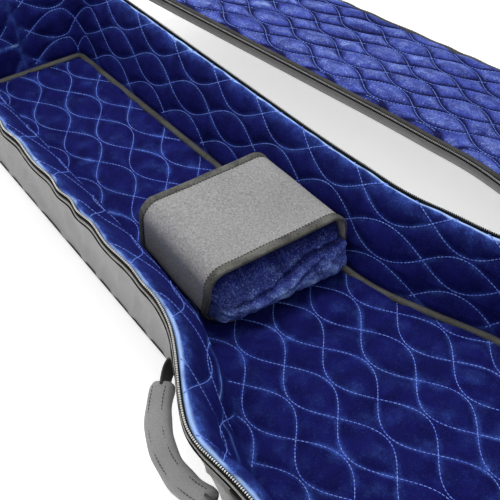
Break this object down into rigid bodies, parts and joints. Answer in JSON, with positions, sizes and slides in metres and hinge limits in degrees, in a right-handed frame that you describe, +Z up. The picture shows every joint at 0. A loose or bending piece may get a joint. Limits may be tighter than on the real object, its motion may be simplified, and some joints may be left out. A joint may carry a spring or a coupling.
{
  "type": "padded gig bag",
  "caption": "Padded gig bag for an acoustic guitar, open on its back, with a quilted velvet lining, a banded neck pillow, a zipped rim and a hinged padded lid.",
  "frame": {"origin": "centre of the underside of the back, which rests on the floor", "axes": "+X along the bag from the headstock end to the tail end, +Y towards the side that carries the lid hinge, +Z up"},
  "size_m": [1.2637, 0.9494, 0.127],
  "materials": {
    "outer_fabric": "woven polyester, matt",
    "foam": "closed-cell foam",
    "velvet": "quilted velvet with a blue sheen",
    "binding": "folded ribbon binding",
    "zip_tape": "woven tape",
    "zip_teeth": "nylon coil",
    "slider_metal": "dark nickel",
    "pull_rubber": "moulded",
    "band_fabric": "grey melange weave",
    "webbing": "ribbed webbing",
    "facing": "woven facing strip"
  },
  "bodies": {
    "base": {"back_outer_panel": "outer_fabric", "back_foam": "foam", "back_lining": "velvet", "floor_seam_binding": "binding", "side_outer_gusset": "outer_fabric", "side_lining": "velvet", "side_foam_head": "foam", "side_foam_neck_near": "foam", "side_foam_neck_far": "foam", "side_foam_shoulder_near": "foam", "side_foam_shoulder_far": "foam", "side_foam_body_near": "foam", "side_foam_body_far": "foam", "side_foam_tail": "foam", "wall_piping": "binding", "zip_facing": "facing", "zip_tape_base": "zip_tape", "zip_teeth_base": "zip_teeth", "hinge_strip_base": "outer_fabric", "neck_pillow": "velvet", "neck_band": "band_fabric", "band_binding_head": "binding", "band_binding_body": "binding", "pillow_floor_patch": "webbing", "side_handle_anchors": "webbing", "hang_loop_patch": "webbing"},
    "lid": {"lid_lining": "velvet", "lid_foam": "foam", "lid_outer_cover": "outer_fabric", "lid_binding": "binding", "zip_tape_lid": "zip_tape", "zip_teeth_lid": "zip_teeth", "hinge_strip_lid": "outer_fabric", "pocket_panel": "outer_fabric", "pocket_zip_tape": "zip_tape", "pocket_zip_teeth": "zip_teeth"},
    "head_slider": {"head_slider": "slider_metal"},
    "head_pull": {"head_pull": "pull_rubber"},
    "tail_slider": {"tail_slider": "slider_metal"},
    "tail_pull": {"tail_pull": "pull_rubber"},
    "pocket_slider": {"pocket_slider": "slider_metal"},
    "pocket_pull": {"pocket_pull": "pull_rubber"},
    "side_handle": {"side_handle_grip": "outer_fabric", "side_handle_webbing": "webbing"},
    "hang_loop": {"hang_loop": "webbing"}
  },
  "joints": [
    {"name": "lid_hinge", "type": "hinge", "parent": "base", "child": "lid", "pos_m": [0.3088, 0.23376, 0.1267], "axis": [0.9957, 0.0923, 0], "range_deg": [0, 193]},
    {"name": "head_slider_slide", "type": "slide", "parent": "base", "child": "head_slider", "axis": [0.9957, 0.0923, 0], "range_m": [-0.055, 0]},
    {"name": "head_pull_hinge", "type": "hinge", "parent": "head_slider", "child": "head_pull", "pos_m": [0.22556, 0.21781, 0.124], "axis": [0.9957, 0.0923, 0], "range_deg": [0, 30]},
    {"name": "tail_slider_slide", "type": "slide", "parent": "base", "child": "tail_slider", "axis": [0.9957, 0.0923, 0], "range_m": [0, 0.045]},
    {"name": "tail_pull_hinge", "type": "hinge", "parent": "tail_slider", "child": "tail_pull", "pos_m": [0.39356, 0.23339, 0.124], "axis": [0.9957, 0.0923, 0], "range_deg": [0, 30]},
    {"name": "pocket_slider_slide", "type": "slide", "parent": "lid", "child": "pocket_slider", "axis": [0.9957, 0.0923, 0], "range_m": [0, 0.24]},
    {"name": "pocket_pull_hinge", "type": "hinge", "parent": "pocket_slider", "child": "pocket_pull", "pos_m": [0.17436, 0.27516, 0.08784], "axis": [0.09, -0.9702, 0.225], "range_deg": [-80, 80]},
    {"name": "side_handle_hinge", "type": "hinge", "parent": "base", "child": "side_handle", "pos_m": [0.125, -0.18862, 0.097], "axis": [0.9628, -0.2703, 0], "range_deg": [-40, 30]},
    {"name": "hang_loop_hinge", "type": "hinge", "parent": "base", "child": "hang_loop", "pos_m": [-0.667, 0, 0.098], "axis": [0, 1, 0], "range_deg": [0, 100]}
  ]
}
